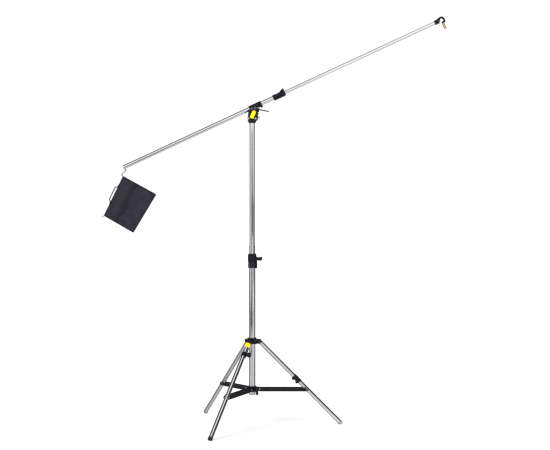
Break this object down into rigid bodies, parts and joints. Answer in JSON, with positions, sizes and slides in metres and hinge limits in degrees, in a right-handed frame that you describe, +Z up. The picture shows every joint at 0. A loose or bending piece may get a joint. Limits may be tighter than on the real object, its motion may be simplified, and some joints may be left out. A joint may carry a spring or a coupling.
{
  "type": "boom light stand",
  "caption": "Folding light stand with spread braces, a telescopic column, a tilting telescopic boom ending in a spigot, and a hanging counterweight bag.",
  "frame": {"origin": "on the floor, under the middle of the bounding box", "axes": "+Z up along the column, +X towards the boom's high end, -Y towards the side that shows the head label"},
  "size_m": [2.0364, 0.933, 2.4144],
  "materials": {
    "chrome_tube": "polished",
    "steel_fittings": "satin",
    "black_casting": "satin",
    "black_steel": "satin",
    "black_plastic": "matte",
    "grey_plastic": "matte",
    "yellow_plastic": "satin",
    "brass_spigot": "satin",
    "nylon_cloth": "matte",
    "webbing": "matte"
  },
  "bodies": {
    "base": {"column_lower_tube": "chrome_tube", "column_end_cap": "grey_plastic", "leg_collar": "black_casting", "leg_collar_screw": "steel_fittings", "leg_pivot_bolt_right": "steel_fittings", "leg_pivot_bolt_front": "steel_fittings", "leg_pivot_bolt_rear": "steel_fittings", "column_clamp": "black_casting", "column_clamp_bush": "grey_plastic"},
    "clamp_knob": {"column_clamp_knob": "black_plastic"},
    "mast": {"column_upper_tube": "chrome_tube"},
    "head": {"head_socket": "black_casting", "head_cheek_front": "black_casting", "head_cheek_rear": "black_casting", "head_bolt_left": "steel_fittings", "head_bolt_right": "steel_fittings", "head_label": "yellow_plastic"},
    "swivel_screw": {"swivel_lock_screw": "steel_fittings"},
    "boom_holder": {"boom_clamp": "black_casting", "tilt_cap": "black_steel"},
    "lever": {"tilt_lever": "black_steel"},
    "boom": {"boom_outer_tube": "chrome_tube", "boom_end_plug": "grey_plastic", "boom_end_eye": "steel_fittings", "extension_clamp": "black_casting", "extension_clamp_screw": "steel_fittings"},
    "wing_knob": {"extension_lock_knob": "black_plastic"},
    "extension": {"boom_inner_tube": "chrome_tube", "boom_inner_bush": "grey_plastic", "tip_casting": "black_casting", "spigot": "brass_spigot"},
    "pin": {"tip_pin": "steel_fittings"},
    "hook": {"bag_hook": "steel_fittings"},
    "bag": {"sandbag": "nylon_cloth", "bag_handle": "webbing", "bag_ring": "steel_fittings", "bag_ring_tab": "webbing", "bag_low_ring": "steel_fittings", "bag_low_ring_tab": "webbing"},
    "leg_right": {"leg_tube_right": "chrome_tube", "foot_cap_right": "grey_plastic", "brace_stud_right": "steel_fittings", "leg_clip": "black_plastic"},
    "leg_rear": {"leg_tube_rear": "chrome_tube", "foot_cap_rear": "grey_plastic", "brace_stud_rear": "steel_fittings"},
    "leg_front": {"levelling_bracket": "black_casting", "levelling_bush": "yellow_plastic", "levelling_guide": "steel_fittings"},
    "leg_front_tube": {"levelling_tube": "chrome_tube", "foot_cap_front": "black_plastic"},
    "levelling_screw": {"levelling_knob": "black_plastic"},
    "spreader": {"brace_collar": "black_casting"},
    "spreader_screw": {"brace_collar_knob": "black_plastic"},
    "spreader_right": {"brace_right": "black_steel"},
    "spreader_front": {"brace_front": "black_steel"},
    "spreader_rear": {"brace_rear": "black_steel"}
  },
  "joints": [
    {"name": "column_rise", "type": "slide", "parent": "base", "child": "mast", "axis": [0, 0, 1], "range_m": [-0.65, 0]},
    {"name": "clamp_knob_turn", "type": "hinge", "parent": "base", "child": "clamp_knob", "pos_m": [-0.08961, 0.01913, 0.986], "axis": [1, 0, 0], "range_deg": [0, 270]},
    {"name": "head_swivel", "type": "hinge", "parent": "mast", "child": "head", "pos_m": [-0.12961, 0.01913, 1.8], "axis": [0, 0, 1], "continuous": true},
    {"name": "swivel_screw_turn", "type": "hinge", "parent": "head", "child": "swivel_screw", "pos_m": [-0.08961, 0.01913, 1.8205], "axis": [1, 0, 0], "range_deg": [0, 270]},
    {"name": "boom_tilt", "type": "hinge", "parent": "head", "child": "boom_holder", "pos_m": [-0.11161, 0.01913, 1.873], "axis": [0, -1, 0], "range_deg": [-65, 20]},
    {"name": "tilt_lever_turn", "type": "hinge", "parent": "head", "child": "lever", "pos_m": [-0.11161, 0.05213, 1.873], "axis": [0, 1, 0], "range_deg": [-40, 40]},
    {"name": "boom_slide", "type": "slide", "parent": "boom_holder", "child": "boom", "axis": [0.907, 0, 0.421], "range_m": [-0.07, 0.25]},
    {"name": "wing_knob_turn", "type": "hinge", "parent": "boom", "child": "wing_knob", "pos_m": [0.04604, 0.01913, 1.97838], "axis": [-0.421, 0, 0.907], "range_deg": [0, 270]},
    {"name": "boom_extension", "type": "slide", "parent": "boom", "child": "extension", "axis": [0.907, 0, 0.421], "range_m": [-0.9, 0]},
    {"name": "tip_pin_swing", "type": "hinge", "parent": "extension", "child": "pin", "pos_m": [0.97352, 0.00373, 2.37913], "axis": [0, 1, 0], "range_deg": [-35, 35]},
    {"name": "hook_swing", "type": "hinge", "parent": "boom", "child": "hook", "pos_m": [-0.87581, 0.01913, 1.5077], "axis": [0, 1, 0], "range_deg": [-28, 40]},
    {"name": "bag_swing", "type": "hinge", "parent": "hook", "child": "bag", "pos_m": [-0.89691, 0.01913, 1.4831], "axis": [0, 1, 0], "range_deg": [-20, 30]},
    {"name": "leg_fold", "type": "hinge", "parent": "base", "child": "leg_right", "pos_m": [-0.08672, 0.02228, 0.498], "axis": [-0.0732, 0.9973, 0], "range_deg": [0, 44.6]},
    {"name": "leg_fold_rear", "type": "hinge", "parent": "base", "child": "leg_rear", "pos_m": [-0.15378, 0.0547, 0.498], "axis": [-0.8271, -0.5621, 0], "range_deg": [0, 44.6]},
    {"name": "leg_fold_front", "type": "hinge", "parent": "base", "child": "leg_front", "pos_m": [-0.14832, -0.01958, 0.498], "axis": [0.9003, -0.4352, 0], "range_deg": [0, 44.6]},
    {"name": "levelling_slide", "type": "slide", "parent": "leg_front", "child": "leg_front_tube", "axis": [-0.3056, -0.6322, -0.712], "range_m": [0, 0.065]},
    {"name": "levelling_knob_turn", "type": "hinge", "parent": "leg_front", "child": "levelling_screw", "pos_m": [-0.14854, -0.09357, 0.43036], "axis": [0.9003, -0.4352, 0], "range_deg": [0, 270]},
    {"name": "spreader_rise", "type": "slide", "parent": "base", "child": "spreader", "axis": [0, 0, 1], "range_m": [0, 0.1629]},
    {"name": "spreader_screw_turn", "type": "hinge", "parent": "spreader", "child": "spreader_screw", "pos_m": [-0.1015, -0.02222, 0.211], "axis": [0.5621, -0.8271, 0], "range_deg": [0, 270]},
    {"name": "brace_swing_right", "type": "hinge", "parent": "spreader", "child": "spreader_right", "pos_m": [-0.08772, 0.02221, 0.217], "axis": [-0.0732, 0.9973, 0], "range_deg": [0, 89.02]},
    {"name": "brace_swing_front", "type": "hinge", "parent": "spreader", "child": "spreader_front", "pos_m": [-0.14789, -0.01868, 0.217], "axis": [0.9003, -0.4352, 0], "range_deg": [0, 89.02]},
    {"name": "brace_swing_rear", "type": "hinge", "parent": "spreader", "child": "spreader_rear", "pos_m": [-0.15321, 0.05387, 0.217], "axis": [-0.8271, -0.5621, 0], "range_deg": [0, 89.02]}
  ],
  "couplings": [
    {"joint": "leg_fold_rear", "follows": "leg_fold", "ratio": 1},
    {"joint": "leg_fold_front", "follows": "leg_fold", "ratio": 1},
    {"joint": "spreader_rise", "follows": "leg_fold", "m_per_rad": 0.20925},
    {"joint": "brace_swing_right", "follows": "leg_fold", "ratio": 1.996},
    {"joint": "brace_swing_front", "follows": "leg_fold", "ratio": 1.996},
    {"joint": "brace_swing_rear", "follows": "leg_fold", "ratio": 1.996}
  ]
}
